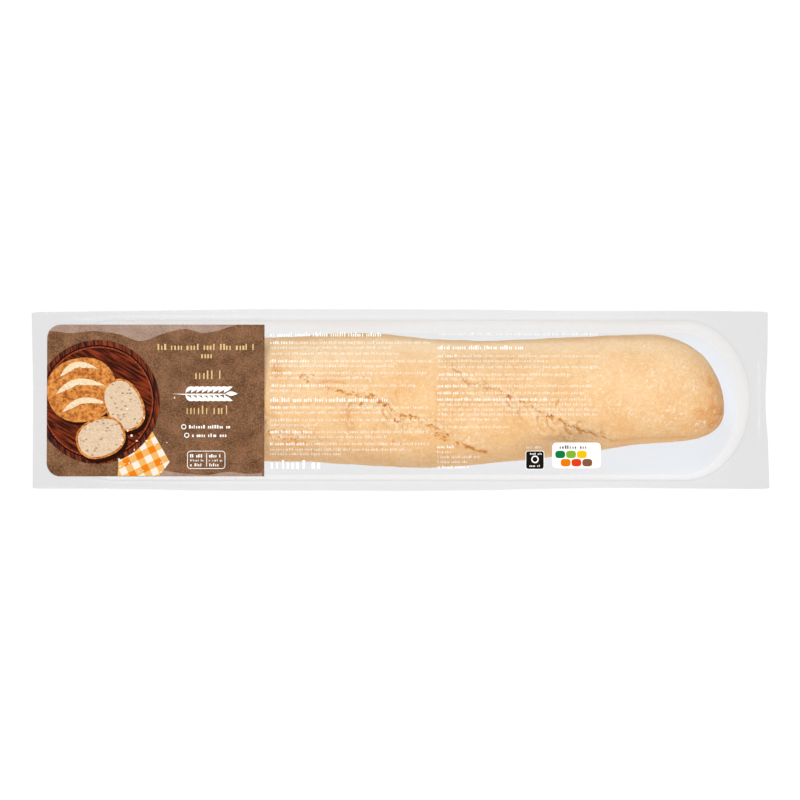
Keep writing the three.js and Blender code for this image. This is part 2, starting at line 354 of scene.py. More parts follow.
def clear_formed_film():
    """Clear polyamide and polyethylene film, drawn down hot into a tub: glossy, and greyish where two layers
    are welded at the flange. Its walls carry a painted warm reflection, darkened to painted shade on the near
    side and at the far right corner, and its floor carries a painted cool light."""
    material, tree, place = new_material(
        "clear_formed_film", Alpha=0.16, Roughness=0.12, IOR=1.5, Specular_IOR_Level=0.35
    )
    # Where the welded flange, the walls with their painted reflection and shade, and the floor with its
    # painted cool light begin and end on the tray, in metres
    parts = add(tree, "SeparateXYZ", {"Vector": place})
    from_middle = add(tree, "Math", {0: parts.outputs["X"]}, operation="ABSOLUTE")
    near_side, end, far_side, ends, wall, upper_wall, flange = (
        ranged(tree, source, none_at, most_at)
        for source, none_at, most_at in (
            (parts.outputs["Y"], 0.0, -0.03),
            (parts.outputs["X"], 0.11, 0.17),
            (parts.outputs["Y"], 0.005, 0.03),
            (from_middle, 0.11, 0.2),
            (parts.outputs["Z"], 0.002, 0.012),
            (parts.outputs["Z"], 0.026, 0.043),
            (parts.outputs["Z"], 0.0445, 0.0455),
        )
    )
    # Painted shade where the wall is seen edge-on: on the near side and at the far right corner
    far_corner = times(tree, far_side, end)
    painted_wall_shade = add(tree, "Math", {0: near_side, 1: far_corner}, operation="MAXIMUM")
    painted_wall_shade = mixed(tree, painted_wall_shade, "756658", "3A2410")
    welded = mixed(tree, ends, "A3A6AC", "76767F")
    # The walls are a painted warm reflection that darkens to the painted shade towards the rim; the floor is
    # a painted cool light
    drawn = mixed(tree, upper_wall, "BEBAB4", painted_wall_shade)
    colour = mixed(tree, wall, "C4DEFF", drawn)
    colour = mixed(tree, flange, colour, welded)
    return coloured(material, colour)


def clear_lidding_film():
    """Clear lidding film, stretched flat and welded: glossy and colourless, with the faintest haze."""
    material, tree, place = new_material(
        "clear_lidding_film", Alpha=0.03, Roughness=0.08, IOR=1.5, Specular_IOR_Level=0.8
    )
    return coloured(material, layered(tree, place, "B4B9BE", [(40, 2.0, 0.5, 0.0, 1.0, 1.0, "CACED2")]))


INK_FINISH = {"Roughness": 0.35, "Specular_IOR_Level": 0.05}  # of ink dried under a film, on all the print


def ink(name, dark, light=None, mark_mm=0.9):
    """Gravure ink dried on film: opaque, with the film's own gloss, and a fine grain between two tones. The
    cells of the print are about 0.1 mm, too fine to show, so the grain is drawn several times coarser."""
    material, tree, place = new_material(name, **INK_FINISH)
    grains = (mark_mm, 3.0, 0.65, 0.35, 0.65, 1.0, light or dark)
    return coloured(material, layered(tree, place, dark, [grains]))


def kraft_ink(name, dark, light):
    """Brown ink printed to look like kraft paper: soft mottling about 9 mm across, under a fine speckle of
    pale and dark fibres. Fibres are about 0.03 mm thick, too fine to show, and are drawn 0.8 mm across."""
    material, tree, place = new_material(name, **INK_FINISH)
    return coloured(material, layered(tree, place, dark, [
        (9, 3.0, 0.6, 0.35, 0.66, 1.0, light),
        (0.8, 3.0, 0.7, 0.48, 0.66, 0.34, "A88A6C"),
        (0.8, 3.0, 0.7, 0.5, 0.34, 0.4, "3E2412"),
    ]))


def walnut_ink(name, dark, light, lean):
    """Ink that pictures oiled walnut: streaks of grain about 1.4 mm apart, 9 times as long, turned by
    lean."""
    material, tree, place = new_material(name, **INK_FINISH)
    turned = add(tree, "Mapping", {"Vector": place, "Rotation": (0, 0, lean)})
    drawn = add(tree, "Mapping", {"Vector": turned, "Scale": (1 / 9, 1, 1)})
    return coloured(material, layered(tree, drawn, dark, [(1.4, 3.0, 0.6, 0.42, 0.68, 1.0, light)]))


def gingham_ink():
    """Ink that pictures checked cotton: orange bands 4 mm wide both ways, deep where they cross."""
    material, tree, place = new_material("gingham_ink", **INK_FINISH)
    turned = add(tree, "Mapping", {"Vector": place, "Rotation": (0, 0, -0.45)})
    bands = []
    for direction in ("X", "Y"):
        wave = add(tree, "TexWave", {"Vector": turned, "Scale": 1000 / 26}, bands_direction=direction)
        bands.append(ranged(tree, wave.outputs["Fac"], 0.45, 0.55))
    both = add(tree, "Math", {0: bands[0], 1: bands[1]}, operation="ADD")
    colour = "E0D8CC"
    for least, over in ((0.0, "D9A860"), (1.0, "D8760E")):
        colour = mixed(tree, ranged(tree, both, least, least + 1), colour, over)
    return coloured(material, colour)


def crumb_ink():
    """Ink that pictures open crumb: cream, with darker holes 1 to 3 mm across and a fine grain."""
    material, tree, place = new_material("crumb_ink", **INK_FINISH)
    colour = layered(tree, place, "B39272", [(1.1, 3.0, 0.5, 0.0, 1.0, 1.0, "E2D3BA")])
    drawn = add(tree, "Mapping", {"Vector": place, "Scale": (1, 1.8, 1), "Rotation": (0, 0, 0.6)})
    cells = add(tree, "TexVoronoi", {"Vector": drawn, "Scale": 1000 / 3.0}).outputs["Distance"]
    holes = ranged(tree, cells, 0.36, 0.18, 0.85)
    patches = ranged(tree, noise(tree, place, 4.5, 1.0), 0.4, 0.52)
    colour = mixed(tree, times(tree, holes, patches), colour, "8A6342")
    return coloured(material, colour)


# The loaf

# Its outline from above, as places along each edge; the y of its two tips; and for each end how long its
# rounding is and of which superellipse power
LOAF_FAR_EDGE = [
    (LOAF_START, 36.5), (-150, 39), (-80, 38.3), (-20, 41),
    (26, 37), (72, 37.3), (138, 40), (LOAF_END, 40.3),
]
LOAF_NEAR_EDGE = [
    (LOAF_START, -32), (-150, -36), (-60, -34.7), (10, -38.4),
    (54, -35.7), (105, -30.1), (145, -24.1), (LOAF_END, -22.8),
]
TIP_Y = (4.4, -3.2)
FAR_ROUNDING = ((40.0, 2.3), (43.5, 2.0))
NEAR_ROUNDING = ((44.0, 2.1), (36.0, 2.6))
TOP_ROUNDING = ((62.0, 2.3), (62.0, 2.3))
SOLE_ROUNDING = ((30.0, 2.2), (30.0, 2.2))

# The cuts as they show from above, from their far to their near ends
CUTS = [
    px_path((147, 375), (190, 392), (224, 402), (258, 418), (296, 438), (335, 451)),
    px_path((300, 376), (345, 394), (377, 399), (398, 416), (432, 427), (460, 444), (490, 452)),
    px_path((453, 366), (470, 383), (500, 392), (518, 401), (549, 416), (571, 427), (590, 433), (618, 441)),
]
CUT_DEPTH = 0.6  # of the soft trough along a cut
CUT_HALF_WIDTH = 4.6
CUT_LIP = 0.7  # height of the crust that is pushed up past the torn crumb on the far side
CUT_TAN = 0.22  # how browned a cut's floor is
TORN_NEAR = 8.0  # how far the torn crumb reaches to each side of a cut
TORN_FAR = 5.0
TORN_NARROWING = 0.65  # share of its near reach that it loses towards the cut's near end
TORN_RAGGED = 1.6  # how far its edges wander
TORN_RIDGES = 0.48  # heights of the torn crumb's ridges and of the lumps on them
TORN_LUMPS = 0.22
TEAR_HALF_WIDTH = 11.5  # of the finer surface that is laid into each cut
TEAR_END = 3.0  # how far it runs on past each end of the cut
TEAR_STEP = 0.32
TEAR_BORDER = 2.2  # width of the rim over which it comes up out of the loaf
TEAR_DIP = 0.56  # how deep its edge lies in the loaf
TEAR_LIFT = 0.6  # how far it comes up from there
UNDER_TEAR = 1.6  # how far the loaf itself sinks under it

# Rows of small toasted pits in the photograph: from, to, how many, and how dark
PIT_ROWS = [
    ((301, 374), (308, 381), 8, 0.9), ((312, 374), (314, 376), 4, 0.8), ((320, 368), (321, 369), 2, 0.4),
    ((321, 381), (334, 380), 9, 0.4), ((321, 387), (333, 388), 6, 0.45), ((338, 389), (346, 395), 10, 0.95),
    ((350, 394), (374, 397), 18, 0.75), ((369, 395), (373, 396), 5, 1.0), ((360, 403), (362, 405), 4, 0.85),
    ((376, 400), (384, 404), 9, 1.0), ((386, 404), (394, 410), 9, 0.8), ((397, 390), (398, 394), 5, 0.55),
    ((394, 418), (400, 422), 7, 1.0), ((401, 413), (405, 418), 7, 1.0), ((409, 415), (412, 417), 5, 1.0),
    ((413, 418), (424, 423), 7, 0.8), ((393, 438), (395, 440), 3, 0.5), ((412, 440), (414, 442), 2, 0.4),
    ((431, 426), (441, 430), 6, 0.7), ((434, 433), (449, 438), 16, 0.8), ((455, 441), (466, 445), 9, 0.7),
    ((454, 367), (460, 374), 8, 0.6), ((462, 377), (470, 384), 10, 0.55), ((475, 383), (490, 388), 12, 0.5),
    ((497, 389), (503, 392), 6, 0.7), ((508, 394), (512, 398), 6, 0.95), ((520, 401), (525, 403), 4, 0.7),
    ((528, 402), (535, 408), 6, 0.6), ((536, 411), (541, 414), 4, 0.7), ((556, 402), (558, 404), 4, 0.85),
    ((546, 415), (554, 418), 9, 1.0), ((560, 421), (572, 427), 10, 0.9), ((574, 428), (583, 432), 9, 0.9),
    ((274, 369), (278, 371), 7, 0.6), ((262, 432), (280, 438), 12, 0.6), ((286, 438), (304, 447), 11, 0.6),
    ((160, 384), (250, 412), 30, 0.7), ((349, 409), (352, 421), 7, 0.4), ((594, 430), (603, 433), 4, 0.45),
]
PIT_CROWD = 1.6  # pits strewn for each one that is counted in a row
PIT_STRAY = 0.75  # how far they stray from the row
PIT_DEPTH = 0.32
PIT_LENGTH = (0.3, 1.0)  # least and most
PIT_SLIMNESS = (0.45, 0.9)  # width by length
PIT_LEAN = (-1.2, 0.6)
# Flour that stuck in patches: place and size in pixels
FLOURED = [
    ((612, 404), 10), ((628, 412), 12), ((660, 418), 16), ((676, 411), 14), ((684, 365), 10), ((700, 421), 8),
    ((693, 390), 8), ((595, 385), 20), ((646, 343), 10), ((655, 380), 14), ((470, 430), 14), ((320, 352), 16),
]
FLOUR_ALL_OVER = 0.22  # how thickly the flour lies
FLOUR_IN_PATCHES = 0.38
FLAKE_COUNT = 320
LOOSE_SHARE = 0.35  # of the flakes lie anywhere on the loaf, and the rest in the patches
FLAKE_LENGTH = (0.3, 1.15)  # half lengths, shortest and longest
FLAKE_SLIMNESS = (0.16, 0.42)  # width by length
FLAKE_RIM = 0.02  # a flake's rim and middle stand this far off the skin
FLAKE_PEAK = 0.16
# Wide pale places, partly thin dust and partly painted light on the upward faces and along the far top
# edge: place, half width and half height in pixels, and strength
DUST_AND_LIGHT = [
    ((340, 358), (75, 16), 0.3), ((292, 392), (30, 16), 0.25), ((510, 365), (60, 18), 0.12),
    ((650, 375), (55, 30), 0.1), ((500, 344), (190, 8), 0.42),
]

# A furrow is a depth and half width, and the height, place and half width of the swelling beside it
CREASE = (0.6, 0.7, 0.6, 1.9, 1.4)
CREASE_TOAST = 0.26  # how toasted each kind is along its line
FLAP = (0.6, 0.6, 1.1, 2.0, 1.6)
FLAP_TOAST = 0.34
FLAP_COVER = 0.75  # share by which a flap smooths the crumb under it
TOAST_HALF_WIDTH = 0.6  # of the toasted line along a crease or flap
FOLD = (0.35, 1.4, 0.3, 2.4, 1.9)
FOLD_TOAST = 0.22
# Short creases across the cuts, each by its start, middle and end in the photograph
CREASES = [
    ((353, 408), (349, 414), (353, 422)), ((343, 383), (330, 382), (321, 384)),
    ((399, 389), (396, 393), (398, 398)), ((434, 386), (438, 398), (436, 421)),
    ((426, 426), (432, 427), (437, 429)), ((529, 402), (533, 402), (537, 404)),
    ((568, 432), (570, 434), (571, 437)), ((580, 422), (577, 426), (579, 430)),
    ((601, 425), (603, 429), (602, 433)), ((404, 424), (402, 431), (405, 438)),
    ((377, 425), (374, 433), (378, 441)), ((482, 379), (486, 382), (489, 386)),
    ((453, 364), (454, 368), (458, 371)), ((463, 378), (468, 383), (474, 384)),
    ((482, 386), (487, 388), (492, 388)),
]
# Edges of soft flaps that overlap in the far end of a cut, given in the same way
FLAPS = [
    ((538, 418), (539, 425), (545, 431)), ((547, 420), (549, 426), (555, 431)),
    ((519, 410), (519, 415), (522, 419)), ((350, 404), (347, 413), (352, 423)),
    ((386, 404), (383, 412), (389, 420)), ((566, 424), (566, 430), (571, 435)),
    ((508, 397), (507, 402), (510, 406)),
]
# The fold that runs on from the last cut, low on the near side
LONG_CREASE = px_path((616, 440), (645, 437.5), (675, 436.5), (702, 436))
# Long slits where the crust lifts in one piece, by cut: from and to as shares of its length, and half width
SLITS = [(1, 0.88, 0.98, 0.95), (2, 0.79, 0.98, 0.5)]
SLIT_DEPTH = 0.35
SLIT_LIP = 0.4
SLIT_TOAST = 0.85
# Browned patches in the photograph, of which the one at (440, 436) is also a painted shade along the second
# cut's near end: place, half width and half height in pixels, and strength
BROWNED_AND_SHADED = [
    ((276, 371), (5, 10), 0.8), ((290, 441), (14, 5), 0.4), ((709, 380), (6, 7), 0.55),
    ((716, 392), (6, 14), 0.25), ((711, 413), (17, 17), 0.5), ((721, 408), (6, 16), 0.3),
    ((697, 404), (4, 6), 0.3), ((512, 354), (5, 7), 0.35), ((272, 408), (6, 9), 0.3),
    ((280, 380), (3, 10), 0.35), ((440, 436), (12, 5), 0.4), ((697, 437), (30, 6), 0.25),
    ((330, 384), (14, 6), 0.2), ((626, 425), (12, 8), 0.2),
]
FOOT_TAN_AND_SHADE = 0.42  # how browned the crust is low down, where it lay on the sheet, and a painted warm shade on its lower sides
END_TAN = 0.28  # and at its right end
MOST_TAN = 0.92


def end_share(x, rounding):
    """How much of its full size an edge has at x, from 1 along the loaf to 0 at a tip."""
    (start_length, start_power), (end_length, end_power) = rounding
    start = round_off(1 - (x - LOAF_START) / start_length, start_power)
    return np.where(x < 0, start, round_off(1 - (LOAF_END - x) / end_length, end_power))


def loaf_section(x):
    """The loaf's section at x: its middle, half width, belly height, rise above it and drop below it."""
    tip = np.where(x < 0, *TIP_Y)
    far = tip + (through(LOAF_FAR_EDGE, x) - tip) * end_share(x, FAR_ROUNDING)
    near = tip + (through(LOAF_NEAR_EDGE, x) - tip) * end_share(x, NEAR_ROUNDING)
    belly = BELLY * LOAF_HEIGHT
    swelling = 1 + SWELL * np.sin(x / SWELL_REACH) - TAPER * (x / LOAF_END) ** 2
    rise = (LOAF_HEIGHT - belly) * swelling * end_share(x, TOP_ROUNDING)
    return (far + near) / 2, (far - near) / 2, belly, rise, belly * end_share(x, SOLE_ROUNDING)


def bare_loaf(x, turn):
    """The loaf's skin without its relief. Each section at x is a superellipse, round above its belly and
    flatter below it, and turn goes once round it from 0 to 1, from the middle of the underside."""
    turn = turn % 1
    middle, half, belly, rise, drop = loaf_section(x)
    side = np.where(turn < 0.5, 1.0, -1.0)
    part = np.minimum(turn, 1 - turn)
    sole = SOLE_SHARE / 2
    under = part < sole
    angle = np.where(under, part / sole - 1, (part - sole) / (0.5 - sole)) * math.pi / 2
    power = np.where(under, SOLE_POWER, DOME_POWER)
    reach = np.abs(np.cos(angle)) ** (2 / power)
    height = np.abs(np.sin(angle)) ** (2 / power)
    z = belly + np.where(under, -drop, rise) * height
    return np.stack([x + 0 * turn, middle + side * half * reach, LOAF_BASE + z], -1)


def bare_normal(x, turn):
    """Outward unit normal of the bare skin, across two short steps along it and round it."""
    along = bare_loaf(np.minimum(x + 0.3, LOAF_END), turn) - bare_loaf(np.maximum(x - 0.3, LOAF_START), turn)
    round_ = bare_loaf(x, turn + 0.002) - bare_loaf(x, turn - 0.002)
    normal = np.cross(round_, along)
    return normal / np.maximum(np.linalg.norm(normal, axis=-1, keepdims=True), 1e-9)


def turn_above(x, y):
    """The turn at which the loaf's upper skin stands over a place seen from above."""
    middle, half, *_ = loaf_section(x)
    reach = np.clip(np.abs(y - middle) / np.maximum(half, 1e-9), 0, 1) ** (DOME_POWER / 2)
    sole = SOLE_SHARE / 2
    part = sole + (0.5 - sole) * np.arccos(reach) / (math.pi / 2)
    return np.where(y > middle, part, 1 - part)


def furrow(side, depth, half_width, swelling, away, swelling_half_width):
    """A furrow where side is 0, and a swelling away from it, each a smooth bump."""
    return swelling * bump(side - away, swelling_half_width) - depth * bump(side, half_width)


def along_cut(cut, x, y):
    """Where a place lies by a cut: its share of the cut's length, and how far it is to the far side."""
    start, end = cut[0], cut[-1]
    run = end - start
    length = np.hypot(*run)
    share = ((x - start[0]) * run[0] + (y - start[1]) * run[1]) / length**2
    lean = run[0] / length
    return share, (y - through(cut, x)) * lean


def crease_field(path, x, y):
    """Signed distance to a bent crease through three places, taken to the nearest of 13 places on it."""
    spots, runs = bent_line(*px_path(*path), 13)
    gaps = np.hypot(x[..., None] - spots[:, 0], y[..., None] - spots[:, 1])
    nearest = np.argmin(gaps, axis=-1)
    spot, run = spots[nearest], runs[nearest]
    side = (x - spot[..., 0]) * run[..., 1] - (y - spot[..., 1]) * run[..., 0]
    return np.take_along_axis(gaps, nearest[..., None], -1)[..., 0] * np.sign(side)


def patch(x, y, place, half_length, half_height):
    """A bell curve, 1 at a place of the photograph, that falls off over half sizes given in pixels."""
    middle_x, middle_y = at_px(*place)
    reach = ((x - middle_x) / (half_length * PX)) ** 2 + ((y - middle_y) / (half_height * PX)) ** 2
    return np.exp(-reach)


def toasted_pits():
    """Small pits strewn along their rows: place, length, width, lean and how dark, one pit to a line."""
    pits = []
    for start, end, count, dark in PIT_ROWS:
        count = int(PIT_CROWD * count)
        start, end = px_path(start, end)
        places = start + rng.uniform(0, 1, (count, 1)) * (end - start)
        places = places + rng.normal(0, PIT_STRAY, (count, 2))
        length = rng.uniform(*PIT_LENGTH, count)
        width = length * rng.uniform(*PIT_SLIMNESS, count)
        lean = rng.uniform(*PIT_LEAN, count)
        pits.append(np.column_stack([places, length, width, lean, dark * rng.uniform(0.3, 1.0, count)]))
    return np.concatenate(pits)


PITS = toasted_pits()


def loaf_relief(points):
    """What the cuts, tears and pits do to the crust: how far it moves out, and how torn, browned, toasted
    and floured it is. The browning also holds a painted shade, and the flour a painted light. Each cut is a
    soft trough with a lip on its far side and, over the torn band beside it, ridged noise; creases, slits
    and pits sink further, each as a bump turned inwards."""
    x, y = points[..., 0], points[..., 1]
    moved = np.zeros_like(x)
    torn = np.zeros_like(x)
    toasted = np.zeros_like(x)
    browned_and_shade = np.zeros_like(x)
    # Flaps come first, because the crumb under them shows less
    covered = np.zeros_like(x)
    for path in FLAPS:
        side = crease_field(path, x, y)
        moved = moved + furrow(side, *FLAP)
        toasted = np.maximum(toasted, FLAP_TOAST * bump(side, TOAST_HALF_WIDTH))
        covered = np.maximum(covered, bump(side - 2.2, 2.4))
    ridges = 1 - 2 * np.abs(rough(points * (0.7, 1, 1), 4.0, 21, 3))
    lumps = rough(points, 1.5, 25, 2)
    # A cut is widest open halfway along it, and its torn band narrows towards its near end
    for number, cut in enumerate(CUTS):
        share, far = along_cut(cut, x, y)
        open_ = np.sqrt(np.clip(np.sin(math.pi * np.clip(share, 0, 1)), 0, 1))
        ragged = far + TORN_RAGGED * rough(points, 7, 31 + number, 2)
        near = TORN_NEAR * (1 - TORN_NARROWING * step(share, 0.5, 0.85))
        band = open_ * step(ragged + near, 0, 2.5) * (1 - step(ragged - TORN_FAR, -2, 0))
        moved = moved - CUT_DEPTH * open_ * bump(far + 0.8, CUT_HALF_WIDTH)
        moved = moved + CUT_LIP * open_ * bump(ragged - TORN_FAR - 3, 3.2)
        crumb = TORN_RIDGES * (ridges - 0.4) + TORN_LUMPS * lumps
        moved = moved + band * (1 - FLAP_COVER * covered) * crumb
        torn = np.maximum(torn, band)
        browned_and_shade = browned_and_shade + CUT_TAN * open_ * bump(far + 0.5, 2.6)
    # Slits are broken into beads, and the lifted crust stands just past them
    for number, low, high, width in SLITS:
        share, far = along_cut(CUTS[number], x, y)
        beads = 0.55 + 0.45 * grain(points, 1.3, 57)
        slit = window(share, low, high, 0.03, 0.02) * bump(far + 0.8 * grain(points, 3.2, 55), width) * beads
        lip = window(share, low, high, 0.05, 0.02) * bump(far - 2.2, 1.4)
        moved = moved - SLIT_DEPTH * slit + SLIT_LIP * lip
        toasted = np.maximum(toasted, SLIT_TOAST * slit)
    # A pit is worked out only within 4 mm of its middle
    for px, py, length, width, lean, dark in PITS:
        near = (np.abs(x - px) < 4) & (np.abs(y - py) < 4)
        dx, dy = x[near] - px, y[near] - py
        along = dx * math.cos(lean) + dy * math.sin(lean)
        across = dy * math.cos(lean) - dx * math.sin(lean)
        hole = np.exp(-((along / length) ** 2) - (across / width) ** 2)
        moved[near] -= PIT_DEPTH * dark * hole
        toasted[near] = np.maximum(toasted[near], dark * hole)
    for path in CREASES:
        side = crease_field(path, x, y)
        moved = moved + furrow(side, *CREASE)
        toasted = np.maximum(toasted, CREASE_TOAST * bump(side, TOAST_HALF_WIDTH))
    # The long fold has a second, fainter line on its near side
    fold = window(x, LONG_CREASE[0, 0], LONG_CREASE[-1, 0], 4, 14)
    far = y - through(LONG_CREASE, x)
    moved = moved + fold * (furrow(far, *FOLD) - 0.2 * bump(far + 3.2, 1.3))
    toasted = np.maximum(toasted, fold * (FOLD_TOAST * bump(far, 1.2) + 0.14 * bump(far + 3.2, 1.1)))
    # Browned patches, one of which is also a painted shade, have ragged edges, and flour lies in clumps
    blotches = 0.75 + 0.7 * rough(points, 3.2, 61, 3)
    for place, halves, strength in BROWNED_AND_SHADED:
        browned_and_shade = browned_and_shade + strength * step(patch(x, y, place, *halves) * blotches, 0.12, 0.72)
    clumps = step(rough(points * (1, 1.6, 1), 1.3, 81, 2), 0.25, 0.75)
    flour_and_light = FLOUR_ALL_OVER * clumps * step(rough(points, 12, 83, 2), 0.1, 0.9)
    for place, size in FLOURED:
        flour_and_light = flour_and_light + FLOUR_IN_PATCHES * patch(x, y, place, size, size) * clumps
    # Wide pale places lay thin dust and painted light on the upward faces and along the far top edge
    for place, halves, strength in DUST_AND_LIGHT:
        flour_and_light = flour_and_light + strength * patch(x, y, place, *halves)
    return moved, torn, browned_and_shade, toasted, np.clip(flour_and_light, 0, 0.8)


def tear_middle(cut, x):
    """The turn at which the finer surface of a cut has its middle at x, a little to the cut's near side."""
    return turn_above(x, through(cut, x) - 1.0)


def tear_inset(number, x, turn):
    """How far inside its border a place on the finer surface of a cut lies, in millimetres."""
    cut = CUTS[number]
    across = TEAR_HALF_WIDTH - np.abs(turn - tear_middle(cut, x)) * GIRTH
    return np.minimum(across, np.minimum(x - cut[0, 0] + TEAR_END, cut[-1, 0] + TEAR_END - x))


def loaf_skin(x, turn):
    """The dressed skin at x and turn: its points, its normals, and the numbers that its material reads.
    The bare skin moves out along its normals by the relief of the cuts, by broad swellings and by fine
    unevenness, all of which die out towards the sole and the tips."""
    bare = bare_loaf(x, turn)
    normal = bare_normal(x, turn)
    up = step(normal[..., 2], -0.1, 0.6)
    moved, torn, browned_and_shade, toasted, flour_and_light = loaf_relief(bare)
    broad = 0.6 * rough(bare, 34, 3, 2) * (0.25 + 0.75 * up) + 0.2 * rough(bare, 15, 12, 2) * (1 - up)
    fine = (0.32 - 0.14 * up) * rough(bare, 8, 9, 3) + 0.1 * rough(bare, 2.2, 15, 2)
    above_sole = step(bare[..., 2] - LOAF_BASE, 0.5, 8)
    end = step(np.minimum(x - LOAF_START, LOAF_END - x), 0.2, 12)
    points = bare + normal * ((broad + fine + moved * up) * above_sole * end)[..., None]
    # Browner low down: the sole's own browning and a painted warm shade on the lower sides
    low = 1 - step(points[..., 2], 2, 17)
    values = {
        "torn": torn * up,
        "browned_and_shade": np.clip(browned_and_shade * up + FOOT_TAN_AND_SHADE * low + END_TAN * step(x, 166, 190), 0, MOST_TAN),
        "toasted": np.clip(toasted * up, 0, 1),
        "flour_and_light": flour_and_light * (0.35 + 0.65 * up),
        "sole": step(-normal[..., 2], 0.8, 0.97),
    }
    return points, normal, values


def make_loaf(material):
    """The whole loaf: rows of turns from end to end, closer together at the ends, with a fan at each tip.
    It sinks a little under the finer surface in each cut."""
    rows, columns = 610, 160
    w = np.linspace(-1, 1, rows)
    x = (LOAF_START + LOAF_END) / 2 + (LOAF_END - LOAF_START) / 2 * (1.25 * w - 0.25 * w**5)
    x, turn = np.meshgrid(x, np.arange(columns) / columns, indexing="ij")
    points, normal, values = loaf_skin(x, turn)
    for number in range(len(CUTS)):
        sunk = step(tear_inset(number, x, turn), TEAR_BORDER, 5)
        points = points - normal * UNDER_TEAR * sunk[..., None]
    tips = [points[0].mean(axis=0), points[-1].mean(axis=0)]
    inner = points[1:-1].reshape(-1, 3)
    ring = np.arange(columns)
    following = (ring + 1) % columns
    last = len(inner) - columns
    start_fan = np.stack([following, ring, np.full(columns, len(inner))], -1)
    end_fan = np.stack([last + ring, last + following, np.full(columns, len(inner) + 1)], -1)
    faces = [grid_faces(rows - 2, columns, wrap=True)[:, ::-1], start_fan, end_fan]
    loaf = mesh_piece("loaf_crust", np.vstack([inner, tips]), faces, material)
    ends = {name: [v[0].mean(), v[-1].mean()] for name, v in values.items()}
    add_values(loaf, **{name: np.append(v[1:-1], ends[name]) for name, v in values.items()})
    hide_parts("baguette")


def make_tears(material):
    """The torn crumb in each cut, as a finer grid of the same skin. Its border dips under the loaf."""
    for number, cut in enumerate(CUTS):
        x = np.arange(cut[0, 0] - TEAR_END, cut[-1, 0] + TEAR_END, TEAR_STEP)
        offset = np.arange(-TEAR_HALF_WIDTH, TEAR_HALF_WIDTH, TEAR_STEP) / GIRTH
        centre = tear_middle(cut, x)
        x, offset = np.meshgrid(x, offset, indexing="ij")
        turn = centre[:, None] + offset
        points, normal, values = loaf_skin(x, turn)
        lift = TEAR_LIFT * step(tear_inset(number, x, turn), 0, TEAR_BORDER) - TEAR_DIP
        points = points + normal * lift[..., None]
        faces = [grid_faces(*x.shape)[:, ::-1]]
        tear = mesh_piece(f"torn_crumb_{number + 1}", points.reshape(-1, 3), faces, material)
        add_values(tear, **values)


def make_flour(material):
    """Flakes of flour on the crust: six-sided, each flat on the skin and turned and sized at random. Its
    rim is an ellipse at six even angles, and a fan joins that to its raised middle."""
    spots, sizes = zip(*FLOURED)
    spots, sizes = px_path(*spots), np.array(sizes) * PX
    pick = rng.choice(len(FLOURED), FLAKE_COUNT, p=sizes / sizes.sum())
    places = spots[pick] + rng.normal(0, 0.5, (FLAKE_COUNT, 2)) * sizes[pick, None]
    loose = rng.random(FLAKE_COUNT) < LOOSE_SHARE
    places[loose] = np.column_stack([rng.uniform(-75, 180, loose.sum()), rng.uniform(-25, 30, loose.sum())])
    x, y = places.T
    middle, half, *_ = loaf_section(x)
    x, y = places[np.abs(y - middle) < half * 0.92].T
    points, normal, _ = loaf_skin(x, turn_above(x, y))
    spin = rng.uniform(0, math.pi, len(x))
    length = rng.uniform(*FLAKE_LENGTH, len(x))
    width = length * rng.uniform(*FLAKE_SLIMNESS, len(x))
    along = np.cross(normal, np.column_stack([np.sin(spin), np.cos(spin), 0 * spin]))
    along = along / np.linalg.norm(along, axis=-1, keepdims=True)
    across = np.cross(normal, along)
    corner = (np.arange(6) * math.pi / 3)[:, None]
    rim = np.cos(corner) * (along * length[:, None])[:, None]
    rim = rim + np.sin(corner) * (across * width[:, None])[:, None]
    rim = points[:, None] + rim + normal[:, None] * FLAKE_RIM
    peak = points + normal * FLAKE_PEAK
    flakes = np.concatenate([rim, peak[:, None]], axis=1)
    j = np.arange(6)
    fan = np.stack([j, (j + 1) % 6, np.full(6, 6)], -1)
    faces = (fan + 7 * np.arange(len(x))[:, None, None]).reshape(-1, 3)
    mesh_piece("flour_flakes", flakes.reshape(-1, 3), [faces], material, smooth=False)


# The pack's film

# How far each side of the sheet is drawn in along its length, because film shrinks as it cools
FAR_SHRINK = [
    (-HALF_LENGTH, 1.3), (-146, 0.5), (-110, -0.05), (-82, -0.45), (-40, -0.4), (0, -0.3),
    (47, -0.1), (93, 0.6), (128, 0.65), (163, 0.55), (187, 0.7), (HALF_LENGTH, 1.0),
]
NEAR_SHRINK = [
    (-HALF_LENGTH, 1.0), (-175, 1.05), (-146, 0.55), (-117, 0), (-47, -0.1), (0, -0.35),
    (47, 0.1), (93, 1.1), (128, 1.45), (163, 1.15), (187, 0.95), (HALF_LENGTH, 0.8),
]
LEFT_SHRINK = [(-HALF_WIDTH, 0.55), (0, 0.65), (20, 0.3), (HALF_WIDTH, -0.5)]
RIGHT_SHRINK = [
    (-HALF_WIDTH, -0.6), (-23, 0.25), (-11, 1.1), (2, 1.4), (12, 1.0), (24, 0.3), (HALF_WIDTH, -0.2),
]


def shrunk(x, y):
    """A place on the uncut sheet after the film has shrunk: each side is drawn in by its own amount."""
    left = through(LEFT_SHRINK, y) - HALF_LENGTH
    right = HALF_LENGTH - through(RIGHT_SHRINK, y)
    x = left + (right - left) * (x + HALF_LENGTH) / (2 * HALF_LENGTH)
    near = through(NEAR_SHRINK, x) - HALF_WIDTH
    far = HALF_WIDTH - through(FAR_SHRINK, x)
    return x, near + (far - near) * (y + HALF_WIDTH) / (2 * HALF_WIDTH)


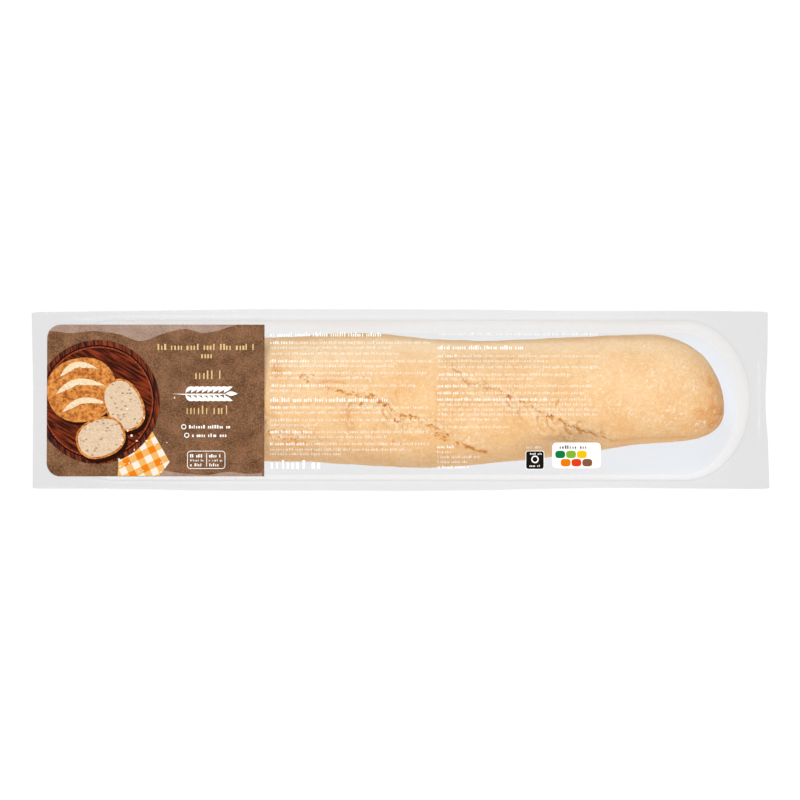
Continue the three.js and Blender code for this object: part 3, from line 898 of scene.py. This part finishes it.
def inside_border(x, y):
    """How far a place lies inside the sealing band's inner edge, a rounded rectangle."""
    dx = np.abs(x) - (HALF_LENGTH - SEAL_BORDER - SEAL_CORNER)
    dy = np.abs(y) - (HALF_WIDTH - SEAL_BORDER - SEAL_CORNER)
    beyond = np.hypot(np.maximum(dx, 0), np.maximum(dy, 0)) + np.minimum(np.maximum(dx, dy), 0)
    return SEAL_CORNER - beyond


def seal_relief(x, y):
    """The sealing bar's mark: the welded band lies lower, past a soft bead at its inner edge."""
    inside = inside_border(x, y)
    return SEAL_SINK * step(inside, -0.8, 0.8) + SEAL_BEAD * bump(inside - 1.2, 1.1) - SEAL_SINK


def film_top(x, y):
    """Height of the top film's upper face: flat on the flange, arched over the tub, with faint ripples
    that run in from the ends."""
    along = np.maximum(0, 1 - (np.abs(x) / (TUB_LENGTH / 2)) ** 4)
    across = np.maximum(0, 1 - (y / (TUB_WIDTH / 2)) ** 2)
    flat = np.stack([x, y, 0 * x], -1)
    ripples = FILM_RIPPLE * rough(flat * (0.35, 1, 1), 9, 71, 2) * step(inside_border(x, y), 1, 8)
    return FILM_FACE + FILM_RISE * along * across + seal_relief(x, y) + ripples


def thicken(piece, thickness, offset):
    """Gives a single sheet its wall: below the sheet at offset -1, and to both sides of it at 0."""
    wall = piece.modifiers.new("film", "SOLIDIFY")
    wall.thickness = thickness * MM
    wall.offset = offset


def make_top_film(material):
    """The top film: an even grid over the sheet, at the film's upper face, with its wall below."""
    rows, columns = 344, 86
    x = np.linspace(-HALF_LENGTH, HALF_LENGTH, rows)
    y = np.linspace(-HALF_WIDTH, HALF_WIDTH, columns)
    x, y = shrunk(*np.meshgrid(x, y, indexing="ij"))
    points = np.stack([x, y, film_top(x, y)], -1).reshape(-1, 3)
    film = mesh_piece("lidding_film", points, [grid_faces(rows, columns)], material)
    thicken(film, LIDDING_FILM, -1)
    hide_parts("top_film")


def tub_outline(places, inset):
    """The tub's outline drawn in by inset: ellipses round both ends and straight sides between them. A
    place on it is its end, 1 or -1, its angle there, and how far along the straight side that end is."""
    side, turn, straight = places
    across = TUB_WIDTH / 2 - inset
    along = TUB_END - inset
    run = TUB_LENGTH / 2 - TUB_END
    x = side * (run * straight + along * np.cos(turn))
    return x, side * across * np.sin(turn)


def make_tray(material):
    """The formed tray as one sheet: rings of the tub's outline go from the middle of the floor out to its
    foot, up the leaning wall, over the lip, and on to the edge of the flange."""
    straight_steps, end_steps = 72, 60
    floor_rings, foot_rings, wall_rings, lip_rings, flange_rings = 17, 10, 30, 8, 12
    corner = math.atan2(HALF_WIDTH, HALF_LENGTH - TUB_LENGTH / 2 + TUB_END)
    turn_of_corner = math.atan2(math.sin(corner) / (TUB_WIDTH / 2), math.cos(corner) / TUB_END)
    turns = np.linspace(-math.pi / 2, math.pi / 2, end_steps)
    for sign in (-1, 1):
        turns[np.argmin(np.abs(turns - sign * turn_of_corner))] = sign * turn_of_corner
    run = np.linspace(-1, 1, straight_steps + 2)[1:-1]
    side = np.repeat([1.0, 1.0, -1.0, -1.0], [end_steps, straight_steps, end_steps, straight_steps])
    turn = np.concatenate([turns, np.full(straight_steps, math.pi / 2)] * 2)
    straight = np.concatenate([np.ones(end_steps), -run] * 2)
    outline = (side, turn, straight)
    foot, lip = TUB_FOOT_RADIUS, TUB_LIP_RADIUS + WALL
    rings = []
    floor_x, floor_y = tub_outline(outline, DRAFT + foot)
    for share in np.linspace(0, 1, floor_rings):
        rings.append((floor_x * (0.55 + 0.45 * share), floor_y * share, 0 * floor_x + WALL / 2))
    wall_foot = WALL / 2 + foot
    wall_top = FLANGE_TOP - WALL / 2 - lip
    profile = []  # of the tub's side, from the floor up: how far it is drawn in, and its height
    for angle in np.linspace(0, math.pi / 2, foot_rings)[1:]:
        profile.append((DRAFT + foot * (1 - math.sin(angle)) + WALL / 2, wall_foot - foot * math.cos(angle)))
    for share in np.linspace(0, 1, wall_rings)[1:]:
        profile.append((WALL / 2 + DRAFT * (1 - share), wall_foot + (wall_top - wall_foot) * share))
    for angle in np.linspace(0, math.pi / 2, lip_rings)[1:]:
        profile.append((WALL / 2 - lip * (1 - math.cos(angle)), wall_top + lip * math.sin(angle)))
    for inset, height in profile:
        x, y = tub_outline(outline, inset)
        rings.append((x, y, 0 * x + height))
    rim_x, rim_y, _ = rings[-1]
    arc_x = side * (TUB_LENGTH / 2 - TUB_END) * straight
    dx, dy = rim_x - arc_x, rim_y
    reach_x = (HALF_LENGTH - np.abs(arc_x)) / np.maximum(np.abs(dx), 1e-6)
    reach_y = HALF_WIDTH / np.maximum(np.abs(dy), 1e-6)
    reach = np.minimum(reach_x, reach_y)
    edge_x, edge_y = shrunk(arc_x + dx * reach, dy * reach)
    for share in np.linspace(0, 1, flange_rings)[1:]:
        x, y = rim_x + (edge_x - rim_x) * share, rim_y + (edge_y - rim_y) * share
        rings.append((x, y, FLANGE_TOP - WALL / 2 + seal_relief(x, y) * step(share, 0, 0.2)))
    points = np.array([np.stack(ring, -1) for ring in rings])
    faces = [grid_faces(*points.shape[:2], wrap=True)]
    tray = mesh_piece("formed_tray", points.reshape(-1, 3), faces, material)
    weld = tray.modifiers.new("spine", "WELD")
    weld.merge_threshold = 0.02 * MM
    thicken(tray, TRAY_FILM, 0)
    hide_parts("tray")


# The print on the top film. Each part is a set of points in the plane and its faces, and is then laid on
# the film. A loop runs anticlockwise, so that its faces look up.


def print_on_film(name, parts, layer, material, smooth=True):
    """One printed piece from any number of parts, at the height of the film's upper face under each point."""
    count, places, faces = 0, [], []
    for part_places, part_faces in parts:
        places.append(part_places)
        faces += [f + count for f in part_faces]
        count += len(part_places)
    x, y = np.concatenate(places).T
    points = np.column_stack([x, y, film_top(x, y) + INK_STEP * (layer + 1)])
    return mesh_piece(name, points, faces, material, smooth)


def field(x, near, far, steps):
    """A printed field from x's first to last value, between a near and a far edge given at each x."""
    across = np.linspace(0, 1, steps)
    y = near[:, None] + (far - near)[:, None] * across
    places = np.stack([x[:, None] + 0 * y, y], -1)
    return places.reshape(-1, 2), [grid_faces(*y.shape)]


def filled(loop, rings=4, longest=1.5):
    """The inside of a loop, as smaller and smaller copies of it round its middle, closed by a fan. Places
    are added along its sides, so that none is longer than longest and the fill follows the film."""
    closed = np.vstack([loop, loop[:1]])
    reach = np.append(0, np.cumsum(np.linalg.norm(np.diff(closed, axis=0), axis=1)))
    spots = np.unique(np.round(np.append(reach, np.arange(0, reach[-1], longest)), 2))
    spots = spots[spots < reach[-1] - 0.01]
    loop = np.column_stack([np.interp(spots, reach, closed[:, 0]), np.interp(spots, reach, closed[:, 1])])
    middle = loop.mean(axis=0)
    shares = np.arange(1, rings + 1) / rings
    places = middle + shares[:, None, None] * (loop - middle)
    ring = np.arange(len(loop))
    fan = np.stack([np.full(len(loop), rings * len(loop)), ring, (ring + 1) % len(loop)], -1)
    return np.vstack([places.reshape(-1, 2), middle]), [grid_faces(rings, len(loop), wrap=True), fan]


def between_loops(inner, outer):
    """The band between two loops with as many points each."""
    return np.vstack([inner, outer]), [grid_faces(2, len(inner), wrap=True)]


def oval(x, y, half_length, half_width, lean=0.0, power=2.0, points=40):
    """A superellipse turned by lean: at each angle its halves times cosine and sine to the power
    2 / power."""
    angle = np.arange(points) * 2 * math.pi / points
    u = half_length * np.sign(np.cos(angle)) * np.abs(np.cos(angle)) ** (2 / power)
    v = half_width * np.sign(np.sin(angle)) * np.abs(np.sin(angle)) ** (2 / power)
    return np.column_stack([
        x + u * math.cos(lean) - v * math.sin(lean),
        y + u * math.sin(lean) + v * math.cos(lean),
    ])


def printed_ring(x, y, radii, points):
    """A ring between an inner and an outer radius, round a place of the photograph."""
    return between_loops(*(oval(*at_px(x, y), radius, radius, points=points) for radius in radii))


def inset_box(box, margin):
    """A rectangle made smaller by a margin on each side."""
    return np.array(box) + (margin, margin, -margin, -margin)


def rounded_box(box, radius, corner_points=7):
    """The loop of a rectangle with round corners: a quarter circle at each, from the right far one on."""
    low_x, low_y, high_x, high_y = inset_box(box, radius)
    centres = np.array([(high_x, high_y), (low_x, high_y), (low_x, low_y), (high_x, low_y)])
    quarter = np.linspace(0, math.pi / 2, corner_points)
    angle = np.concatenate([quarter + n * math.pi / 2 for n in range(4)])
    rounding = radius * np.column_stack([np.cos(angle), np.sin(angle)])
    return np.repeat(centres, corner_points, axis=0) + rounding


def blade(start, middle, end, width, points=9):
    """The loop of a bent leaf: both sides of a parabola through three places, widest halfway along."""
    line, run = bent_line(start, middle, end, points)
    side = np.column_stack([run[:, 1], -run[:, 0]]) / np.linalg.norm(run, axis=1, keepdims=True)
    half = width / 2 * np.sin(math.pi * np.linspace(0, 1, points)[:, None])
    return np.vstack([line + side * half, (line - side * half)[-2:0:-1]])


def boxes(corners):
    """Separate rectangles, from rows of low x, low y, high x and high y."""
    places = np.stack([corners[:, [0, 2, 2, 0]], corners[:, [1, 1, 3, 3]]], -1)
    return places.reshape(-1, 2), [np.arange(len(corners) * 4).reshape(-1, 4)]


def px_box(x0, y0, x1, y1):
    """Low and high corner, in millimetres, of a box read in the photograph."""
    (low_x, high_y), (high_x, low_y) = at_px(x0, y0), at_px(x1, y1)
    return low_x, low_y, high_x, high_y


def text_marks(x0, y, x1, height, pitch, share):
    """A line of marks that reads as small print and spells nothing: upright strokes a pitch apart, two
    heights, with gaps for words. x0, y and x1 are pixels of the photograph, and the rest are millimetres."""
    low, middle = at_px(x0, y)
    count = int((x1 - x0) * PX / pitch)
    centre = low + (np.arange(count) + 0.5) * pitch + rng.normal(0, 0.08 * pitch, count)
    wide = pitch * share * rng.uniform(0.7, 1.3, count)
    tall = height * rng.choice([0.7, 1.0], count, p=[0.68, 0.32])
    word = (np.arange(count) + rng.integers(0, 7)) % rng.choice([5, 6, 7, 8]) > 0
    foot = middle - height / 2
    marks = np.column_stack([centre - wide / 2, foot + 0 * tall, centre + wide / 2, foot + tall])
    return marks[word]


def print_lines(name, lines, layer, material):
    """Lines of marks as one printed piece."""
    print_on_film(name, [boxes(np.concatenate(lines))], layer, material, smooth=False)


PANEL = px_box(47, 324.5, 264.5, 476.5)
PANEL_CORNER = 8.0
BOARD = (*at_px(98, 402), 62 * PX)
BOARD_RINGS = [62, 57, 55.6, 54.2]  # rim, dark groove and its bright lip, as radii in pixels

# Small print on the clear film, by the left edge of its columns: each line's y, its right edge, and how
# far its bold start reaches, in pixels
SMALL_PRINT = {
    270: [
        (342.5, 432, 294), (347.5, 392, 270), (353.5, 400, 270), (361, 432, 312), (366, 395, 270),
        (373, 427, 294), (378, 372, 270), (385.5, 418, 326), (390.5, 300, 270), (407.5, 430, 290),
        (412.5, 388, 270), (420, 432, 270), (425, 318, 270), (432, 428, 314), (437, 388, 270),
        (444, 430, 306), (449.5, 412, 270), (454, 342, 270),
    ],
    437: [
        (334, 600, 437), (356, 600, 456), (361, 550, 437), (367, 598, 437), (374.5, 573, 474),
        (379, 536, 437), (386, 590, 468), (393, 585, 460), (399.5, 592, 550), (404.5, 592, 437),
        (409.5, 598, 437), (414.5, 598, 437), (419.5, 497, 437), (427, 511, 437), (447, 456, 456),
        (452, 452, 437), (457, 480, 437), (462, 468, 437), (467, 469, 469),
    ],
    526: [(447.5, 542, 526)],
}
HEADINGS = [(270, 334.5, 384), (270, 400, 389), (437, 347.5, 524)]
# Kinds of marks: height and pitch in millimetres, and the share of the pitch that a stroke takes
FINE_MARKS = (1.5, 0.92, 0.23)
BOLD_MARKS = (1.7, 0.92, 0.44)
HEADING_MARKS = (2.3, 1.3, 0.46)


def make_small_print(white):
    """The small print and its headings: fine marks, and bold ones where a line starts and for headings."""
    fine, bold = [], []
    for x0, lines in SMALL_PRINT.items():
        for y, x1, bold_end in lines:
            bold.append(text_marks(x0, y, bold_end, *BOLD_MARKS))
            fine.append(text_marks(bold_end, y, x1, *FINE_MARKS))
    for x0, y, x1 in HEADINGS:
        bold.append(text_marks(x0, y, x1, *HEADING_MARKS))
    bold.append(text_marks(270, 464.5, 322, 5.0, 3.0, 0.5))
    print_lines("small_print", fine + bold, 0, white)


def panel_edges(x):
    """The panel's near and far edge at x, drawn in by its two round corners at the left."""
    drawn_in = PANEL_CORNER * (1 - round_off(1 - (x - PANEL[0]) / PANEL_CORNER, 2))
    return PANEL[1] + drawn_in, PANEL[3] - drawn_in


def make_panel(kraft, reflection_ink):
    """The brown panel, whose columns lie closer together at its round corners, and a painted reflection of
    the film along its far and near edges: paler bands, each between a smooth curve and the panel's edge."""
    x = PANEL[0] + (PANEL[2] - PANEL[0]) * np.linspace(0, 1, 110) ** 1.6
    parts = [field(x, *panel_edges(x), 64)]
    print_on_film("kraft_panel", parts, 0, kraft)
    # Painted reflection of the film where it curves over the panel's far edge, and then its near edge
    hills = [
        (47, 330), (70, 333), (92, 331), (118, 334), (141, 341),
        (165, 333), (186, 329), (205, 333), (236, 325),
    ]
    x = np.linspace(PANEL[0] + 0.4, at_px(236, 0)[0], 100)
    _, far = panel_edges(x)
    parts = [field(x, np.minimum(through(px_path(*hills), x), far), far, 6)]
    hills = [(160, 470), (180, 473), (208, 475), (228, 472), (248, 474), (262, 473)]
    x = np.linspace(at_px(160, 0)[0], at_px(262, 0)[0], 60)
    near = np.full_like(x, PANEL[1])
    parts.append(field(x, near, np.maximum(through(px_path(*hills), x), near), 3))
    print_on_film("painted_reflection_bands", parts, 1, reflection_ink)


def board_ring(outer, inner):
    """Part of the board's face between two radii in pixels. The panel's left edge cuts each ring off."""
    room = BOARD[0] - PANEL[0]
    radius = np.linspace(inner, outer, 4)[:, None] * PX
    open_angle = math.pi - np.where(radius > room, np.arccos(np.minimum(room / radius, 1)), 0)
    angle = np.linspace(-1, 1, 90) * open_angle
    places = np.stack([BOARD[0] + radius * np.cos(angle), BOARD[1] + radius * np.sin(angle)], -1)
    return places.reshape(-1, 2), [grid_faces(*angle.shape)]


def cut_at_panel(loop):
    """A loop kept inside the panel's left edge."""
    return np.column_stack([np.maximum(loop[:, 0], PANEL[0] + 0.05), loop[:, 1]])


def make_picture():
    """A picture of a loaf and two slices on a round board, with the corner of a checked cloth. The board is
    rings round a face, the loaf and slices are ovals, each over a darker oval to its right for a shadow."""
    rim, groove, lip, face = BOARD_RINGS
    cloth = px_path((120, 440), (150, 427), (170, 462), (160, 476), (118, 476))
    angle = np.linspace(-math.pi, math.pi, 97)[:-1]
    room = (BOARD[0] - PANEL[0]) / np.maximum(-np.cos(angle), 1e-6)
    radius = np.where(np.cos(angle) < 0, np.minimum(face * PX, room), face * PX)
    board = np.column_stack([BOARD[0] + radius * np.cos(angle), BOARD[1] + radius * np.sin(angle)])
    shadows = [
        filled(cut_at_panel(oval(*at_px(85, 394), 35 * PX, 31 * PX, 0.2, 2.2, 60)), 14),
        filled(oval(*at_px(126.5, 409), 19 * PX, 27 * PX, 0.45, 2.3, 48), 8),
        filled(oval(*at_px(103.5, 442), 25 * PX, 20 * PX, 0.35, 2.3, 48), 8),
    ]
    loaf = cut_at_panel(oval(*at_px(82, 390), 35 * PX, 32 * PX, 0.2, 2.2, 60))
    scores = [
        ((60, 377), (76, 365), (98, 369)),
        ((56, 395), (77, 382), (106, 386)),
        ((62, 413), (82, 401), (108, 404)),
    ]
    scores = [filled(blade(*px_path(*places), 3.6), 2) for places in scores]
    crust = ink("baked_crust_ink", "8E4816", "D8924A", 2.2)
    crumb = crumb_ink()
    prints = [
        ("cloth_corner", [filled(cloth[::-1], 12)], 2, gingham_ink()),
        ("board_rim", [board_ring(rim, groove)], 3, walnut_ink("walnut_rim_ink", "2A1216", "8E4018", 1.4)),
        ("board_groove", [board_ring(groove, lip)], 3, ink("deep_brown_ink", "1C0603")),
        ("board_lip", [board_ring(lip, face)], 3, ink("copper_brown_ink", "A04A26", "5E2010")),
        ("board_face", [filled(board, 20)], 3, walnut_ink("walnut_ink", "2B0D05", "82341A", 0.5)),
        ("pictured_shadows", shadows, 4, ink("shadow_brown_ink", "1A0703", "2A0D06")),
        ("pictured_loaf", [filled(loaf, 14)], 5, crust),
        ("pictured_scores", scores, 6, ink("floury_cream_ink", "D2B68C", "E8DAC0", 1.4)),
    ]
    slices = [((124, 405), 19, 27, 0.45), ((101, 438), 25, 20, 0.35)]
    for number, (place, half_length, half_width, lean) in enumerate(slices, 1):
        outside, inside = (
            oval(*at_px(*place), (half_length - rind) * PX, (half_width - rind) * PX, lean, 2.3, 48)
            for rind in (0, 2.2)
        )
        prints.append((f"slice_crust_{number}", [between_loops(inside, outside)], 6 + number, crust))
        prints.append((f"slice_crumb_{number}", [filled(inside, 10)], 6 + number, crumb))
    spots = rng.normal(0, 1, (26, 2)) * (13, 11) + at_px(146, 448)
    spots = spots[(spots > (PANEL[0] + 2, PANEL[1] + 2)).all(axis=1) & (spots[:, 0] < at_px(176, 0)[0])]
    crumbs = [filled(oval(x, y, *rng.uniform(0.25, 0.8, 2), points=8), 1) for x, y in spots]
    prints.append(("pictured_crumbs", crumbs, 9, ink("cream_ink", "E9D9BC")))
    for name, parts, layer, material in prints:
        print_on_film(name, parts, layer, material)


def make_panel_marks(white, tan):
    """What stands on the panel beside its picture: lines of marks, an ear of wheat, and a ruled box."""
    lines = [
        text_marks(157, 347, 256, 3.6, 1.9, 0.5),
        text_marks(200, 355.5, 214, 3.4, 1.9, 0.5),
        text_marks(190, 375, 222, 5.0, 2.3, 0.34),
        text_marks(181, 410, 231, 5.0, 2.3, 0.34),
    ]
    print_lines("tan_lines", lines, 2, tan)
    (x0, y0), (x1, _) = at_px(172, 394), at_px(238, 394)
    grains = [filled(blade((x0, y0), ((x0 + x1) / 2, y0 - 0.5), (x1 - 4, y0), 1.1), 2)]
    for k in range(8):
        root = x0 + 8 + k * 3.2
        for side in (1, -1):
            tip = (root + 5.2, y0 + side * 4.0)
            middle = (root + 2.1, y0 + side * 2.9)
            grains.append(filled(blade((root, y0 + side * 0.5), middle, tip, 2.2), 2))
    grains.append(filled(blade((x1 - 7, y0), (x1 - 4, y0 + 0.1), (x1, y0), 2.6), 2))
    print_on_film("wheat_ear", grains, 2, white)
    parts = [printed_ring(x, y, (1.0, 1.5), 18) for x, y in ((184, 427), (187, 435.5))]
    rule = px_box(187.5, 451, 225.5, 469)
    parts.append(between_loops(rounded_box(inset_box(rule, 0.35), 1.6), rounded_box(rule, 1.95)))
    print_on_film("rings_and_frame", parts, 2, white)
    lines = [
        text_marks(189, 427, 231, 2.0, 1.35, 0.6),
        text_marks(192, 435.5, 227, 2.0, 1.35, 0.6),
    ]
    for y, height, pitch, share in ((456, 1.9, 1.2, 0.6), (460.5, 1.2, 0.9, 0.4), (465, 1.7, 1.2, 0.5)):
        for x in (190, 209):
            lines.append(text_marks(x, y, x + 14, height, pitch, share))
    lines.append(np.array([px_box(206.6, 453.5, 207.2, 466.5)]))
    print_lines("panel_small_print", lines, 2, white)


def make_tags(white):
    """Two small tags: a dark square with a ring and bars, and a white one with six dots of ink."""
    dark = ink("dark_brown_ink", "120E0C")
    square = px_box(526, 451.5, 543.5, 469)
    rim = [filled(rounded_box(inset_box(square, -0.35), 1.5), 5)]
    print_on_film("dark_tag_rim", rim, 0, white)
    print_on_film("dark_tag", [filled(rounded_box(square, 1.2), 5)], 1, dark)
    print_on_film("dark_tag_ring", [printed_ring(534.8, 459.5, (1.5, 2.2), 20)], 2, white)
    lines = [text_marks(528, 454, 542, 1.1, 0.9, 0.5), text_marks(529, 466, 541, 1.1, 0.9, 0.5)]
    print_lines("dark_tag_lines", lines, 2, white)
    tag = px_box(552, 442.8, 600.5, 468.3)
    print_on_film("white_tag", [filled(rounded_box(tag, 2.4), 8)], 0, white)
    grey = ink("grey_ink", "5A5A5C")
    lines = [text_marks(556, 447.3, 588, 2.0, 1.5, 0.55)]
    print_lines("white_tag_line", lines, 1, grey)
    colours = [
        ("green", "03723A"), ("leaf_green", "76A62A"), ("yellow", "E3B502"),
        ("orange", "D47300"), ("red", "CD3710"), ("brown", "7A5036"),
    ]
    for k, (name, colour) in enumerate(colours):
        x, y = at_px(560 + 10.8 * (k % 3) + 5.4 * (k // 3), 454.6 + 8.2 * (k // 3))
        dot = oval(x, y, 2.9, 2.2, power=3.0, points=28)
        print_on_film(f"{name}_dot", [filled(dot, 3)], 1, ink(f"{name}_ink", colour))


# Stage, light and camera


TABLE_GLOW = 0.98
ROOM_GLOW = 0.55
TABLE_HALF = 40000.0
TABLE_TOP = -0.2  # just under the pack
# Name, place in metres, width in metres, watts and colour
LAMPS = [
    ("key", (-0.35, 1.15, 1.7), 0.9, 24.4, "FFFFFF"),
    ("fill", (0.3, -1.3, 1.4), 2.4, 24.6, "FFEEDC"),
    ("end_glint", (1.0, 0.1, 1.9), 0.2, 1.5, "FFFFFF"),
]


def make_stage():
    """A light table: a pale floor, lit from below, that shows clear film without a shadow round it."""
    glow = {"Emission_Color": "FFFFFF", "Emission_Strength": TABLE_GLOW}
    material, *_ = new_material("opal_light_table", Base_Color="262626", Roughness=0.9, **glow)
    corners = [(-1, -1), (1, -1), (1, 1), (-1, 1)]
    points = np.array([(x * TABLE_HALF, y * TABLE_HALF, TABLE_TOP) for x, y in corners])
    mesh = bpy.data.meshes.new("floor")
    mesh.from_pydata((points * MM).tolist(), [], [(0, 1, 2, 3)])
    mesh.materials.append(material)
    in_scene("floor", mesh)


def make_light():
    """An even pale room and three round lamps, each turned to the middle of the pack."""
    world = bpy.data.worlds.new("studio")
    world.use_nodes = True
    background = world.node_tree.nodes["Background"]
    background.inputs["Color"].default_value = linear("FAFCFF")
    background.inputs["Strength"].default_value = ROOM_GLOW
    bpy.context.scene.world = world
    for name, place, size, power, colour in LAMPS:
        lamp = bpy.data.lights.new(name, "AREA")
        lamp.color = linear(colour)[:3]
        lamp.shape = "DISK"
        lamp.size = size
        lamp.energy = power
        holder = in_scene(name, lamp)
        holder.location = place
        towards = -np.array(place)
        holder.rotation_euler = (
            math.atan2(math.hypot(towards[0], towards[1]), -towards[2]),
            0,
            math.atan2(towards[1], towards[0]) - math.pi / 2,
        )


def make_camera():
    """The camera of the photograph, with the lens that puts the pack at its size there."""
    scene = bpy.context.scene
    camera = bpy.data.cameras.new("overhead")
    camera.sensor_width = 36
    frame_width = PHOTO_PX * PX * MM
    camera.lens = camera.sensor_width * CAMERA_DISTANCE / frame_width
    holder = in_scene("overhead", camera)
    back = CAMERA_DISTANCE * math.sin(CAMERA_TILT)
    holder.location = (0, -back, FLANGE_TOP * MM + CAMERA_DISTANCE * math.cos(CAMERA_TILT))
    holder.rotation_euler = (CAMERA_TILT, 0, 0)
    scene.camera = holder
    scene.view_settings.view_transform = "Standard"


make_camera()
make_light()
make_stage()
crust_material = part_baked_crust()
make_loaf(crust_material)
make_tears(crust_material)
make_flour(bench_flour())
make_tray(clear_formed_film())
make_top_film(clear_lidding_film())
white_ink = ink("white_ink", "F4F4F2")
make_small_print(white_ink)
# The paler kraft ink paints the film's reflection along the panel's edges
make_panel(kraft_ink("kraft_brown_ink", "5E3F29", "7F5A40"), kraft_ink("painted_reflection_ink", "90776A", "A48D81"))
make_picture()
make_panel_marks(white_ink, ink("tan_ink", "D2B47E"))
make_tags(white_ink)
